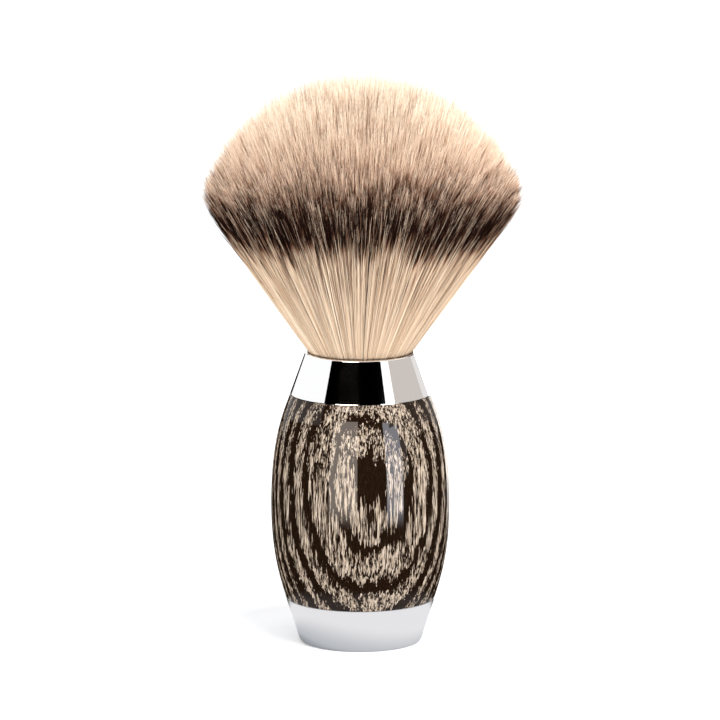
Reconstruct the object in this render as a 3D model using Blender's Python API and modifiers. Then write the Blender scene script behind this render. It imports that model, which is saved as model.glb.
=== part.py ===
"""Shaving brush with a screw-in knot.

A fan of fibres is potted in a threaded holder. The holder screws into a metal ferrule, and one
long screw clamps the ferrule, a turned wooden barrel and a metal base together.

Metres, +Z up. The origin is the middle of the flat underside, and +Z is the axis of every turned
piece. The brush stands on its base.
"""

import math

import bmesh
import bpy
from mathutils import Matrix, Vector

MM = 0.001

# Clearances
FIT_GAP = 0.3 * MM  # between faces that touch on the real brush
CUT_OVERRUN = 1.0 * MM  # how far a cutter runs past the wall that it cuts

# The fan of fibres
TIED_RADIUS = 9.3 * MM
TIED_LENGTH = 2.5 * MM
FAN_HALF_ANGLE = math.radians(36.0)
DOME_RADIUS = 35.6 * MM
DOME_CENTRE_ABOVE_RIM = 24.4 * MM

# The knot's holder, with what it holds
BINDING_THICKNESS = 0.5 * MM
HOLDER_WALL = 0.7 * MM
HOLDER_FLOOR = 2.0 * MM
PLUG_THICKNESS = 3.1 * MM
SEAL_THICKNESS = 1.0 * MM
SEAL_CLEARANCE = 0.9 * MM  # from the stem's thread

# The holder's thread
THREAD_PITCH = 2.0 * MM
THREAD_TURNS = 3.1
THREAD_DEPTH = 1.0 * MM
THREAD_ROOT_WIDTH = 1.0 * MM
THREAD_CREST_WIDTH = 0.4 * MM
THREAD_LEAD_IN = 1.0 * MM
THREAD_RUN_OUT = 0.9 * MM
THREAD_CLEARANCE = 0.4 * MM
FLANK_CLEARANCE = 0.2 * MM
STEM_WALL = 3.2 * MM
STEM_HOLE_DEPTH = 5.0 * MM

# The handle's outer shape
BASE_HEIGHT = 9.5 * MM
BASE_FOOT_RADIUS = 13.1 * MM
BASE_TOP_RADIUS = 16.2 * MM
BARREL_LENGTH = 44.25 * MM
BARREL_RADIUS = 19.28 * MM
BARREL_WIDEST = 19.6 * MM  # above the barrel's lower end
BARREL_LOWER_POWER = 2.1
BARREL_UPPER_POWER = 2.5
FERRULE_HEIGHT = 8.95 * MM
RIM_WALL = 0.45 * MM
RIM_CHAMFER = 0.25 * MM
EDGE_FILLET = 0.5 * MM

# The ferrule's inside
BORE_DEPTH = 12.3 * MM
SEAT_WIDTH = 1.3 * MM
BUSH_WALL = 1.4 * MM
BUSH_OVERHANG = 1.1 * MM  # below the stem's end
BUSH_LEDGE = 1.2 * MM
FERRULE_FLOOR = 2.5 * MM

# The two spigots, and the wood around the upper one
FERRULE_SPIGOT_WALL = 1.2 * MM
BARREL_TOP_WALL = 2.22 * MM
BASE_SPIGOT_RADIUS = 11.0 * MM
BASE_SPIGOT_LENGTH = 10.35 * MM

# Rings that seal the two spigots in the wood
O_RING_SECTION = 1.5 * MM
O_RING_SINK = 0.55 * MM  # its section's middle, inside the spigot's surface
O_RING_GROOVE_WIDTH = 2.1 * MM
FERRULE_RING_DROP = 8.2 * MM
BASE_RING_RISE = 5.3 * MM

# The tie screw and its fittings, of the M6 series
SCREW_RADIUS = 2.95 * MM
SCREW_CLEARANCE = 0.35 * MM
TIP_STANDOUT = 0.7 * MM
HEAD_RADIUS = 5.0 * MM
HEAD_HEIGHT = 6.0 * MM
HEAD_SOCKET_ACROSS_FLATS = 5.0 * MM
HEAD_SOCKET_DEPTH = 3.0 * MM
NUT_ACROSS_FLATS = 10.0 * MM
NUT_HEIGHT = 5.0 * MM
WASHER_OVERHANG = 0.4 * MM  # past the screw's head
WASHER_THICKNESS = 1.0 * MM
BARREL_HOLE_CLEARANCE = 1.05 * MM

# The disc under the base that hides the screw
FOOT_RING_WIDTH = 3.6 * MM
DISC_THICKNESS = 1.2 * MM
DISC_INSET = 0.2 * MM

# Pins that stop the metal from turning in the wood
PIN_RADIUS = 1.0 * MM
PIN_IN_METAL = 1.4 * MM
PIN_IN_WOOD = 3.5 * MM

# How finely round shapes are cut
ROUND_STEPS = 48
SMALL_STEPS = 24
THREAD_STEPS = 36
BARREL_POINTS = 6  # along each of the barrel's two halves
DOME_POINTS = 9
SHARP_ANGLE = math.radians(30)

# Radii that follow from the sizes above
CUP_RADIUS = TIED_RADIUS + BINDING_THICKNESS + 2 * FIT_GAP
HOLDER_RADIUS = CUP_RADIUS + HOLDER_WALL
BORE_RADIUS = HOLDER_RADIUS + FIT_GAP
RIM_RADIUS = BORE_RADIUS + RIM_WALL
BUSH_RADIUS = BORE_RADIUS - SEAT_WIDTH - FIT_GAP
NUT_ROOM_RADIUS = BUSH_RADIUS - BUSH_LEDGE
BUSH_BORE_RADIUS = BUSH_RADIUS - BUSH_WALL - THREAD_DEPTH
THREAD_CORE_RADIUS = BUSH_BORE_RADIUS - THREAD_CLEARANCE
THREAD_CREST_RADIUS = THREAD_CORE_RADIUS + THREAD_DEPTH
STEM_HOLE_RADIUS = THREAD_CORE_RADIUS - STEM_WALL
FERRULE_SPIGOT_RADIUS = BORE_RADIUS + FERRULE_SPIGOT_WALL
BARREL_TOP_RADIUS = FERRULE_SPIGOT_RADIUS + FIT_GAP + BARREL_TOP_WALL
SCREW_HOLE_RADIUS = SCREW_RADIUS + SCREW_CLEARANCE
BARREL_HOLE_RADIUS = SCREW_RADIUS + BARREL_HOLE_CLEARANCE
WASHER_RADIUS = HEAD_RADIUS + WASHER_OVERHANG
HEAD_ROOM_RADIUS = WASHER_RADIUS + FIT_GAP
DISC_ROOM_RADIUS = BASE_FOOT_RADIUS - FOOT_RING_WIDTH
UPPER_PIN_X = (NUT_ROOM_RADIUS + FERRULE_SPIGOT_RADIUS) / 2
LOWER_PIN_X = -(HEAD_ROOM_RADIUS + BASE_SPIGOT_RADIUS) / 2

# Heights that follow from the sizes above
BARREL_FOOT_Z = BASE_HEIGHT + FIT_GAP
BARREL_TOP_Z = BARREL_FOOT_Z + BARREL_LENGTH
FERRULE_Z = BARREL_TOP_Z + FIT_GAP
RIM_Z = FERRULE_Z + FERRULE_HEIGHT
SEAT_Z = RIM_Z - BORE_DEPTH
HOLDER_Z = SEAT_Z + SEAL_THICKNESS + 2 * FIT_GAP
STEM_Z = HOLDER_Z - THREAD_LEAD_IN - THREAD_TURNS * THREAD_PITCH - THREAD_RUN_OUT
BUSH_Z = STEM_Z - BUSH_OVERHANG
NUT_ROOM_TOP_Z = BUSH_Z - FIT_GAP
NUT_TOP_Z = NUT_ROOM_TOP_Z - TIP_STANDOUT - FIT_GAP
NUT_Z = NUT_TOP_Z - NUT_HEIGHT
NUT_WASHER_Z = NUT_Z - FIT_GAP - WASHER_THICKNESS
NUT_ROOM_Z = NUT_WASHER_Z - FIT_GAP
FERRULE_SPIGOT_Z = NUT_ROOM_Z - FERRULE_FLOOR
BASE_SPIGOT_TOP_Z = BASE_HEIGHT + BASE_SPIGOT_LENGTH
DISC_ROOM_DEPTH = DISC_INSET + DISC_THICKNESS + FIT_GAP
HEAD_Z = DISC_ROOM_DEPTH + 2 * FIT_GAP
HEAD_TOP_Z = HEAD_Z + HEAD_HEIGHT
HEAD_WASHER_Z = HEAD_TOP_Z + FIT_GAP
HEAD_ROOM_TOP_Z = HEAD_WASHER_Z + WASHER_THICKNESS + FIT_GAP
PLUG_Z = HOLDER_Z + HOLDER_FLOOR + FIT_GAP
FIBRE_Z = PLUG_Z + PLUG_THICKNESS + FIT_GAP
CUP_TOP_Z = FIBRE_Z + TIED_LENGTH
# The fan spreads from the cup's top, or from higher if it would otherwise touch the ferrule's lip.
FAN_SLOPE = math.tan(FAN_HALF_ANGLE)
FAN_Z = max(CUP_TOP_Z, RIM_Z - (BORE_RADIUS - FIT_GAP - TIED_RADIUS) / FAN_SLOPE)


def clear_scene():
    for obj in list(bpy.data.objects):
        bpy.data.objects.remove(obj)


def new_collection(name):
    found = bpy.data.collections.new(name)
    bpy.context.scene.collection.children.link(found)
    return found


def new_material(name, colour, roughness, metallic=0.0):
    made = bpy.data.materials.new(name)
    made.use_nodes = True
    shader = made.node_tree.nodes["Principled BSDF"]
    shader.inputs["Base Color"].default_value = (*colour, 1.0)
    shader.inputs["Roughness"].default_value = roughness
    shader.inputs["Metallic"].default_value = metallic
    return made


def new_frame(name, height, parent=None):
    """An empty on the brush's axis that its pieces hang from."""
    frame = bpy.data.objects.new(name, None)
    frame.empty_display_size = BARREL_RADIUS
    frame.parent = parent
    frame.location.z = height - (parent.matrix_world.translation.z if parent else 0.0)
    BRUSH.objects.link(frame)
    bpy.context.view_layer.update()
    return frame


def add(name, mesh, finish, frame, x=0.0):
    """Makes a piece of the brush. Its mesh holds heights above the ground, and frame sets its origin."""
    mesh.transform(Matrix.Translation((-x, 0.0, -frame.matrix_world.translation.z)))
    mesh.materials.append(finish)
    piece = bpy.data.objects.new(name, mesh)
    piece.parent = frame
    piece.location.x = x
    BRUSH.objects.link(piece)
    return piece


def add_cutter(name, mesh, target):
    """Makes a helper that a Boolean on target uses."""
    cutter = bpy.data.objects.new(name, mesh)
    cutter.parent = target.parent
    mesh.transform(Matrix.Translation((0.0, 0.0, -target.parent.matrix_world.translation.z)))
    cutter.hide_render = True
    cutter.display_type = "WIRE"
    CUTTERS.objects.link(cutter)
    return cutter


def combine(target, mesh, operation):
    """Cuts, joins or trims target with a helper of this mesh."""
    name = f"{target.name}_{operation.lower()}_{len(target.modifiers) + 1}"
    change = target.modifiers.new(name, "BOOLEAN")
    change.operation = operation
    change.solver = "EXACT"
    change.object = add_cutter(name, mesh, target)


def turned_mesh(outline, steps=ROUND_STEPS):
    """Turns an outline of (radius, height) about Z. It runs down the outer side. It ends on the axis,
    or it closes on itself as a ring."""
    profile = bpy.data.meshes.new("profile")
    points = [(radius, 0.0, height) for radius, height in outline]
    edges = [(i, i + 1) for i in range(len(points) - 1)]
    if outline[0][0] > 0:
        edges.append((len(points) - 1, 0))
    profile.from_pydata(points, edges, [])
    lathe = bpy.data.objects.new("lathe", profile)
    CUTTERS.objects.link(lathe)
    screw = lathe.modifiers.new("Screw", "SCREW")
    screw.steps = screw.render_steps = steps
    screw.use_merge_vertices = True
    screw.merge_threshold = 1e-6
    graph = bpy.context.evaluated_depsgraph_get()
    mesh = bpy.data.meshes.new_from_object(lathe.evaluated_get(graph))
    bpy.data.objects.remove(lathe)
    bpy.data.meshes.remove(profile)
    mesh.shade_smooth()
    mesh.set_sharp_from_angle(angle=SHARP_ANGLE)
    return mesh


def ring_outline(inner, outer, low, high):
    return [(inner, high), (outer, high), (outer, low), (inner, low)]


def rod_outline(radius, low, high):
    return [(0.0, high), (radius, high), (radius, low), (0.0, low)]


def fillet(corner, before, after, radius, points=3):
    """Points of an arc that rounds off a corner of an outline."""
    corner, before, after = Vector(corner), Vector(before), Vector(after)
    inward = (before - corner).normalized()
    onward = (after - corner).normalized()
    half = inward.angle(onward) / 2
    centre = corner + (inward + onward).normalized() * radius / math.sin(half)
    start = corner + inward * radius / math.tan(half) - centre
    end = corner + onward * radius / math.tan(half) - centre
    turns = [start.slerp(end, i / (points - 1)) for i in range(points)]
    return [tuple(centre + radius * turn) for turn in turns]


def prism_mesh(across_flats, low, high, sides=6):
    """An upright prism with this many sides."""
    shape = bmesh.new()
    radius = across_flats / 2 / math.cos(math.pi / sides)
    bmesh.ops.create_cone(
        shape,
        cap_ends=True,
        segments=sides,
        radius1=radius,
        radius2=radius,
        depth=high - low,
        matrix=Matrix.Translation((0.0, 0.0, (low + high) / 2)),
    )
    mesh = bpy.data.meshes.new("prism")
    shape.to_mesh(mesh)
    shape.free()
    return mesh


def rod_mesh(radius, low, high, x=0.0):
    mesh = turned_mesh(rod_outline(radius, low, high), SMALL_STEPS)
    mesh.transform(Matrix.Translation((x, 0.0, 0.0)))
    return mesh


def torus_mesh(major, section, height):
    """A ring of round section, made from a primitive."""
    bpy.ops.mesh.primitive_torus_add(
        major_radius=major,
        minor_radius=section / 2,
        major_segments=ROUND_STEPS,
        minor_segments=8,
        location=(0.0, 0.0, 0.0),
    )
    made = bpy.context.object
    mesh = made.data
    bpy.data.objects.remove(made)
    mesh.transform(Matrix.Translation((0.0, 0.0, height)))
    mesh.shade_smooth()
    return mesh


def thread_mesh(inner, crest, root_width, crest_width, low, turns):
    """A right-handed helical ridge that starts at height low and climbs for this many turns."""
    shape = bmesh.new()
    section = [
        (inner, -root_width / 2),
        (crest, -crest_width / 2),
        (crest, crest_width / 2),
        (inner, root_width / 2),
    ]
    corners = [shape.verts.new((radius, 0.0, low + rise)) for radius, rise in section]
    shape.faces.new(corners)
    steps = round(turns * THREAD_STEPS)
    bmesh.ops.spin(
        shape,
        geom=shape.verts[:] + shape.edges[:] + shape.faces[:],
        axis=(0.0, 0.0, 1.0),
        dvec=(0.0, 0.0, turns * THREAD_PITCH / steps),
        angle=turns * math.tau,
        steps=steps,
    )
    bmesh.ops.recalc_face_normals(shape, faces=shape.faces[:])
    mesh = bpy.data.meshes.new("thread")
    shape.to_mesh(mesh)
    shape.free()
    return mesh


def barrel_radius(height):
    """The wood's outer radius at a height above its lower end."""
    if height < BARREL_WIDEST:
        share = (BARREL_WIDEST - height) / BARREL_WIDEST
        return BARREL_RADIUS - (BARREL_RADIUS - BASE_TOP_RADIUS) * share**BARREL_LOWER_POWER
    share = (height - BARREL_WIDEST) / (BARREL_LENGTH - BARREL_WIDEST)
    return BARREL_RADIUS - (BARREL_RADIUS - BARREL_TOP_RADIUS) * share**BARREL_UPPER_POWER


def barrel_outline():
    """The wood's outer side from its top to its foot."""
    upper = [
        BARREL_LENGTH - (BARREL_LENGTH - BARREL_WIDEST) * i / BARREL_POINTS
        for i in range(BARREL_POINTS)
    ]
    lower = [BARREL_WIDEST * (1 - i / BARREL_POINTS) for i in range(BARREL_POINTS + 1)]
    return [(barrel_radius(h), BARREL_FOOT_Z + h) for h in upper + lower]


def make_wood_barrel(frame):
    """The grip: a wooden barrel with a socket for each metal spigot and a hole for the screw."""
    upper_socket = FERRULE_SPIGOT_RADIUS + FIT_GAP
    upper_floor = FERRULE_SPIGOT_Z - FIT_GAP
    lower_socket = BASE_SPIGOT_RADIUS + FIT_GAP
    lower_floor = BASE_SPIGOT_TOP_Z + FIT_GAP
    outline = [
        (upper_socket, BARREL_TOP_Z),
        *barrel_outline(),
        (lower_socket, BARREL_FOOT_Z),
        (lower_socket, lower_floor),
        (BARREL_HOLE_RADIUS, lower_floor),
        (BARREL_HOLE_RADIUS, upper_floor),
        (upper_socket, upper_floor),
    ]
    barrel = add("wood_barrel", turned_mesh(outline), WOOD, frame)
    hole = PIN_RADIUS + FIT_GAP
    depth = PIN_IN_WOOD + FIT_GAP
    upper = rod_mesh(hole, upper_floor - depth, upper_floor + CUT_OVERRUN, UPPER_PIN_X)
    lower = rod_mesh(hole, lower_floor - CUT_OVERRUN, lower_floor + depth, LOWER_PIN_X)
    combine(barrel, upper, "DIFFERENCE")
    combine(barrel, lower, "DIFFERENCE")


def groove_outline(spigot_radius, height):
    """The four points of an O-ring's groove, from its upper edge to its lower one."""
    floor = spigot_radius - O_RING_SINK - O_RING_SECTION / 2 - FIT_GAP
    high, low = height + O_RING_GROOVE_WIDTH / 2, height - O_RING_GROOVE_WIDTH / 2
    return [(spigot_radius, high), (floor, high), (floor, low), (spigot_radius, low)]


def make_base_cap(frame):
    """The metal foot. A spigot rises into the wood, and the screw's head sits in it from below."""
    foot, top = (BASE_FOOT_RADIUS, 0.0), (BASE_TOP_RADIUS, BASE_HEIGHT)
    outline = [
        (SCREW_HOLE_RADIUS, BASE_SPIGOT_TOP_Z),
        (BASE_SPIGOT_RADIUS, BASE_SPIGOT_TOP_Z),
        *groove_outline(BASE_SPIGOT_RADIUS, BASE_HEIGHT + BASE_RING_RISE),
        (BASE_SPIGOT_RADIUS, BASE_HEIGHT),
        top,
        *fillet(foot, top, (0.0, 0.0), EDGE_FILLET),
        (DISC_ROOM_RADIUS, 0.0),
        (DISC_ROOM_RADIUS, DISC_ROOM_DEPTH),
        (HEAD_ROOM_RADIUS, DISC_ROOM_DEPTH),
        (HEAD_ROOM_RADIUS, HEAD_ROOM_TOP_Z),
        (SCREW_HOLE_RADIUS, HEAD_ROOM_TOP_Z),
    ]
    cap = add("base_cap", turned_mesh(outline), CHROME, frame)
    low = BASE_SPIGOT_TOP_Z - PIN_IN_METAL - 2 * FIT_GAP
    hole = rod_mesh(PIN_RADIUS + FIT_GAP, low, BASE_SPIGOT_TOP_Z + CUT_OVERRUN, LOWER_PIN_X)
    combine(cap, hole, "DIFFERENCE")


def make_base_disc(frame):
    """The plain disc let into the underside, which hides the screw."""
    outline = rod_outline(DISC_ROOM_RADIUS - FIT_GAP, DISC_INSET, DISC_INSET + DISC_THICKNESS)
    add("base_disc", turned_mesh(outline), CHROME, frame)


def make_ferrule(frame):
    """The metal collar. Its bore takes the knot's holder, and its spigot sinks into the wood."""
    rim, foot = (RIM_RADIUS, RIM_Z), (BARREL_TOP_RADIUS, FERRULE_Z)
    lip = (BORE_RADIUS + RIM_CHAMFER, RIM_Z)
    bush_seat = BUSH_RADIUS + FIT_GAP
    outline = [
        lip,
        rim,
        foot,
        (FERRULE_SPIGOT_RADIUS, FERRULE_Z),
        *groove_outline(FERRULE_SPIGOT_RADIUS, FERRULE_Z - FERRULE_RING_DROP),
        (FERRULE_SPIGOT_RADIUS, FERRULE_SPIGOT_Z),
        (SCREW_HOLE_RADIUS, FERRULE_SPIGOT_Z),
        (SCREW_HOLE_RADIUS, NUT_ROOM_Z),
        (NUT_ROOM_RADIUS, NUT_ROOM_Z),
        (NUT_ROOM_RADIUS, NUT_ROOM_TOP_Z),
        (bush_seat, NUT_ROOM_TOP_Z),
        (bush_seat, SEAT_Z),
        (BORE_RADIUS, SEAT_Z),
        (BORE_RADIUS, RIM_Z - RIM_CHAMFER),
    ]
    ferrule = add("ferrule", turned_mesh(outline), CHROME, frame)
    high = FERRULE_SPIGOT_Z + PIN_IN_METAL + FIT_GAP
    hole = rod_mesh(PIN_RADIUS + FIT_GAP, FERRULE_SPIGOT_Z - CUT_OVERRUN, high, UPPER_PIN_X)
    combine(ferrule, hole, "DIFFERENCE")


def make_threaded_bush(frame):
    """The brass nut in the ferrule that the knot screws into."""
    high = SEAT_Z - FIT_GAP
    outline = ring_outline(BUSH_BORE_RADIUS, BUSH_RADIUS, BUSH_Z, high)
    bush = add("threaded_bush", turned_mesh(outline, THREAD_STEPS), BRASS, frame)
    # The groove starts a whole number of pitches below the stem's ridge, so the two are in mesh.
    ridge_start = STEM_Z + THREAD_LEAD_IN
    below = math.ceil((ridge_start - BUSH_Z) / THREAD_PITCH) + 1
    start = ridge_start - below * THREAD_PITCH
    turns = math.ceil((high + THREAD_PITCH - start) / THREAD_PITCH)
    groove = thread_mesh(
        BUSH_BORE_RADIUS - THREAD_CLEARANCE / 2,
        THREAD_CREST_RADIUS + THREAD_CLEARANCE,
        THREAD_ROOT_WIDTH + 2 * FLANK_CLEARANCE,
        THREAD_CREST_WIDTH + 2 * FLANK_CLEARANCE,
        start,
        turns,
    )
    combine(bush, groove, "DIFFERENCE")


def make_o_ring(name, spigot_radius, height, frame):
    mesh = torus_mesh(spigot_radius - O_RING_SINK, O_RING_SECTION, height)
    add(name, mesh, RUBBER, frame)


def make_pin(name, x, low, frame):
    """A steel dowel that runs from the wood into a metal spigot."""
    length = PIN_IN_METAL + PIN_IN_WOOD + FIT_GAP
    mesh = turned_mesh(rod_outline(PIN_RADIUS, low, low + length), SMALL_STEPS)
    mesh.transform(Matrix.Translation((x, 0.0, 0.0)))
    add(name, mesh, STEEL, frame, x)


def make_tie_screw(frame):
    """The socket-head screw that clamps the handle together, drawn without its fine thread."""
    tip = NUT_TOP_Z + TIP_STANDOUT
    chamfer = SCREW_RADIUS / 4
    outline = [
        (0.0, tip),
        (SCREW_RADIUS - chamfer, tip),
        (SCREW_RADIUS, tip - chamfer),
        (SCREW_RADIUS, HEAD_TOP_Z),
        (HEAD_RADIUS, HEAD_TOP_Z),
        (HEAD_RADIUS, HEAD_Z + chamfer / 2),
        (HEAD_RADIUS - chamfer / 2, HEAD_Z),
        (0.0, HEAD_Z),
    ]
    screw = add("tie_screw", turned_mesh(outline, SMALL_STEPS), STEEL, frame)
    socket_top = HEAD_Z + HEAD_SOCKET_DEPTH
    socket = prism_mesh(HEAD_SOCKET_ACROSS_FLATS, HEAD_Z - CUT_OVERRUN, socket_top)
    combine(screw, socket, "DIFFERENCE")


def make_washer(name, low, frame):
    outline = ring_outline(SCREW_HOLE_RADIUS, WASHER_RADIUS, low, low + WASHER_THICKNESS)
    add(name, turned_mesh(outline, SMALL_STEPS), STEEL, frame)


def make_tie_nut(frame):
    """The hexagon nut inside the ferrule. Its corners are trimmed by a turned chamfer."""
    low, high = NUT_Z, NUT_TOP_Z
    nut = add("tie_nut", prism_mesh(NUT_ACROSS_FLATS, low, high), STEEL, frame)
    face, corner = NUT_ACROSS_FLATS / 2, NUT_ACROSS_FLATS / 2 / math.cos(math.pi / 6)
    trim = (corner - face) / 2
    chamfer = [
        (0.0, high + CUT_OVERRUN),
        (face, high + CUT_OVERRUN),
        (face, high),
        (corner + trim, high - trim),
        (corner + trim, low + trim),
        (face, low),
        (face, low - CUT_OVERRUN),
        (0.0, low - CUT_OVERRUN),
    ]
    combine(nut, turned_mesh(chamfer, SMALL_STEPS), "INTERSECT")
    hole = rod_mesh(SCREW_RADIUS + FIT_GAP, low - CUT_OVERRUN, high + CUT_OVERRUN)
    combine(nut, hole, "DIFFERENCE")


def make_knot_seal(frame):
    """The flat rubber ring that the holder is tightened down onto."""
    low = SEAT_Z + FIT_GAP
    inner = THREAD_CREST_RADIUS + SEAL_CLEARANCE
    outline = ring_outline(inner, HOLDER_RADIUS, low, low + SEAL_THICKNESS)
    add("knot_seal", turned_mesh(outline), RUBBER, frame)


def make_knot_holder(frame):
    """The moulded cup that the fibres are potted in, with a hollow threaded stem under it."""
    floor = HOLDER_Z + HOLDER_FLOOR
    hole_top = STEM_Z + STEM_HOLE_DEPTH
    outline = [
        (0.0, floor),
        (CUP_RADIUS, floor),
        (CUP_RADIUS, CUP_TOP_Z),
        (HOLDER_RADIUS, CUP_TOP_Z),
        (HOLDER_RADIUS, HOLDER_Z),
        (THREAD_CORE_RADIUS, HOLDER_Z),
        (THREAD_CORE_RADIUS, STEM_Z),
        (STEM_HOLE_RADIUS, STEM_Z),
        (STEM_HOLE_RADIUS, hole_top),
        (0.0, hole_top),
    ]
    holder = add("knot_holder", turned_mesh(outline, THREAD_STEPS), PLASTIC, frame)
    ridge = thread_mesh(
        THREAD_CORE_RADIUS - THREAD_CLEARANCE,
        THREAD_CREST_RADIUS,
        THREAD_ROOT_WIDTH,
        THREAD_CREST_WIDTH,
        STEM_Z + THREAD_LEAD_IN,
        THREAD_TURNS,
    )
    combine(holder, ridge, "UNION")


def make_potting_plug(frame):
    """The disc of cured resin that grips the fibres' roots."""
    outline = rod_outline(CUP_RADIUS - FIT_GAP, PLUG_Z, PLUG_Z + PLUG_THICKNESS)
    add("potting_plug", turned_mesh(outline, THREAD_STEPS), RESIN, frame)


def make_binding_ring(frame):
    """The band that holds the fibres in a round bundle while they are potted."""
    outline = ring_outline(
        TIED_RADIUS + FIT_GAP, CUP_RADIUS - FIT_GAP, FIBRE_Z, CUP_TOP_Z - FIT_GAP
    )
    add("binding_ring", turned_mesh(outline, THREAD_STEPS), ALUMINIUM, frame)


def make_fibre_bundle(frame):
    """The outer shape of the fibres: tied at the foot, a straight cone, and a dome over it."""
    centre = RIM_Z + DOME_CENTRE_ABOVE_RIM
    # How far above the dome's centre the cone's line meets the dome's circle
    at_centre = TIED_RADIUS + FAN_SLOPE * (centre - FAN_Z)
    b, c = at_centre * FAN_SLOPE, at_centre**2 - DOME_RADIUS**2
    rise = (-b + math.sqrt(b * b - (1 + FAN_SLOPE**2) * c)) / (1 + FAN_SLOPE**2)
    edge = math.acos(rise / DOME_RADIUS)
    turns = [edge * i / DOME_POINTS for i in range(DOME_POINTS + 1)]
    dome = [(DOME_RADIUS * math.sin(a), centre + DOME_RADIUS * math.cos(a)) for a in turns]
    outline = [*dome, (TIED_RADIUS, FAN_Z), (TIED_RADIUS, FIBRE_Z), (0.0, FIBRE_Z)]
    add("fibre_bundle", turned_mesh(outline), FIBRE, frame)


clear_scene()
BRUSH = new_collection("shaving_brush")
CUTTERS = new_collection("cutters")

WOOD = new_material("dark_limed_wood", (0.13, 0.10, 0.08), 0.25)
CHROME = new_material("polished_chrome", (0.86, 0.87, 0.88), 0.06, 1.0)
BRASS = new_material("brass", (0.72, 0.55, 0.25), 0.3, 1.0)
STEEL = new_material("steel", (0.55, 0.56, 0.58), 0.3, 1.0)
ALUMINIUM = new_material("aluminium", (0.80, 0.81, 0.82), 0.4, 1.0)
RUBBER = new_material("black_rubber", (0.02, 0.02, 0.02), 0.8)
PLASTIC = new_material("ivory_plastic", (0.80, 0.76, 0.66), 0.4)
RESIN = new_material("amber_resin", (0.60, 0.42, 0.18), 0.2)
FIBRE = new_material("cream_fibre", (0.78, 0.62, 0.46), 0.6)

handle = new_frame("handle", 0.0)
seal_frame = new_frame("seal", SEAT_Z, handle)
knot = new_frame("knot", HOLDER_Z, seal_frame)

make_base_disc(handle)
make_base_cap(handle)
make_o_ring("base_o_ring", BASE_SPIGOT_RADIUS, BASE_HEIGHT + BASE_RING_RISE, handle)
make_pin("lower_pin", LOWER_PIN_X, BASE_SPIGOT_TOP_Z - PIN_IN_METAL - FIT_GAP, handle)
make_wood_barrel(handle)
make_pin("upper_pin", UPPER_PIN_X, FERRULE_SPIGOT_Z - FIT_GAP - PIN_IN_WOOD, handle)
make_o_ring("ferrule_o_ring", FERRULE_SPIGOT_RADIUS, FERRULE_Z - FERRULE_RING_DROP, handle)
make_ferrule(handle)
make_tie_screw(handle)
make_washer("head_washer", HEAD_WASHER_Z, handle)
make_washer("nut_washer", NUT_WASHER_Z, handle)
make_tie_nut(handle)
make_threaded_bush(handle)
make_knot_seal(seal_frame)
make_knot_holder(knot)
make_potting_plug(knot)
make_binding_ring(knot)
make_fibre_bundle(knot)
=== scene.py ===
"""The looks of a shaving brush: combed fibres, polished metal and dark limed wood.

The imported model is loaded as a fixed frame, and every piece made here takes its place from it.
"""

import math

import bmesh
import bpy
import numpy as np
from bpy.props import FloatProperty, FloatVectorProperty, IntProperty, PointerProperty
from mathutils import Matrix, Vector, kdtree


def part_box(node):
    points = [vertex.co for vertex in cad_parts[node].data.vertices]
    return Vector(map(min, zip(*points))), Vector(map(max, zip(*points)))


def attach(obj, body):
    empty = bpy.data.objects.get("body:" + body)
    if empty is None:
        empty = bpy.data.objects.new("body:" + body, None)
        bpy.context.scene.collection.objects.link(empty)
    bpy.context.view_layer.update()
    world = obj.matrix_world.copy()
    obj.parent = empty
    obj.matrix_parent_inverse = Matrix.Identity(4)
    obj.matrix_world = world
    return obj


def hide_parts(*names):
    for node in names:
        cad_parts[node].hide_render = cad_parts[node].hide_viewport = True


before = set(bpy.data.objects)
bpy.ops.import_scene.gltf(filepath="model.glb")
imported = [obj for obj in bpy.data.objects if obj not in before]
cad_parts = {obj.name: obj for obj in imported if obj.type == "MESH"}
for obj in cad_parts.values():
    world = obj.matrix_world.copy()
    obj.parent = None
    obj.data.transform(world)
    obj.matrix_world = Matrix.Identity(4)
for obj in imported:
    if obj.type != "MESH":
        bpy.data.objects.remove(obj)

bl_info = {
    "name": "Shaving Brush",
    "version": (1, 0, 0),
    "blender": (4, 5, 0),
    "location": "3D View > Sidebar > Brush",
    "description": "Builds a shaving brush with combed fibres on a wooden handle",
    "category": "Add Mesh",
}

MM = 0.001
GAP = 0.3 * MM  # what the frame leaves between faces that touch
NEAR = 0.01 * MM
SMOOTH_ANGLE = math.radians(30)
TURNED_STEPS = 192
FIBRE_MAP = "OFBake"  # each fibre's column across, and the distance along it upwards
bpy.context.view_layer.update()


def radius_at(node, height):
    """The largest distance from the axis of a frame node's corners at this height."""
    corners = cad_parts[node].data.vertices
    return max(math.hypot(v.co.x, v.co.y) for v in corners if abs(v.co.z - height) < NEAR)


def outer_radius(node):
    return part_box(node)[1].x


BARREL_LOW, BARREL_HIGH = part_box("wood_barrel")[0].z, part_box("wood_barrel")[1].z
RIM_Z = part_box("ferrule")[1].z
SEAT_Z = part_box("knot_seal")[0].z - GAP
RIM_RADIUS = radius_at("ferrule", RIM_Z)
BORE_RADIUS = outer_radius("knot_seal") + GAP
LOWER_SEAM_Z = BARREL_LOW - GAP / 2
UPPER_SEAM_Z = BARREL_HIGH + GAP / 2
FERRULE_SPIGOT_RADIUS = outer_radius("ferrule_o_ring") - GAP * 2 / 3
BASE_SPIGOT_RADIUS = outer_radius("base_o_ring") - GAP * 2 / 3
TIED_TOP_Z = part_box("knot_holder")[1].z
TIED_RADIUS = radius_at("fibre_bundle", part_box("fibre_bundle")[0].z)
FAN_TOP_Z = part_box("fibre_bundle")[1].z


def inner_radius(node):
    return min(math.hypot(v.co.x, v.co.y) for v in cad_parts[node].data.vertices)


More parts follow.
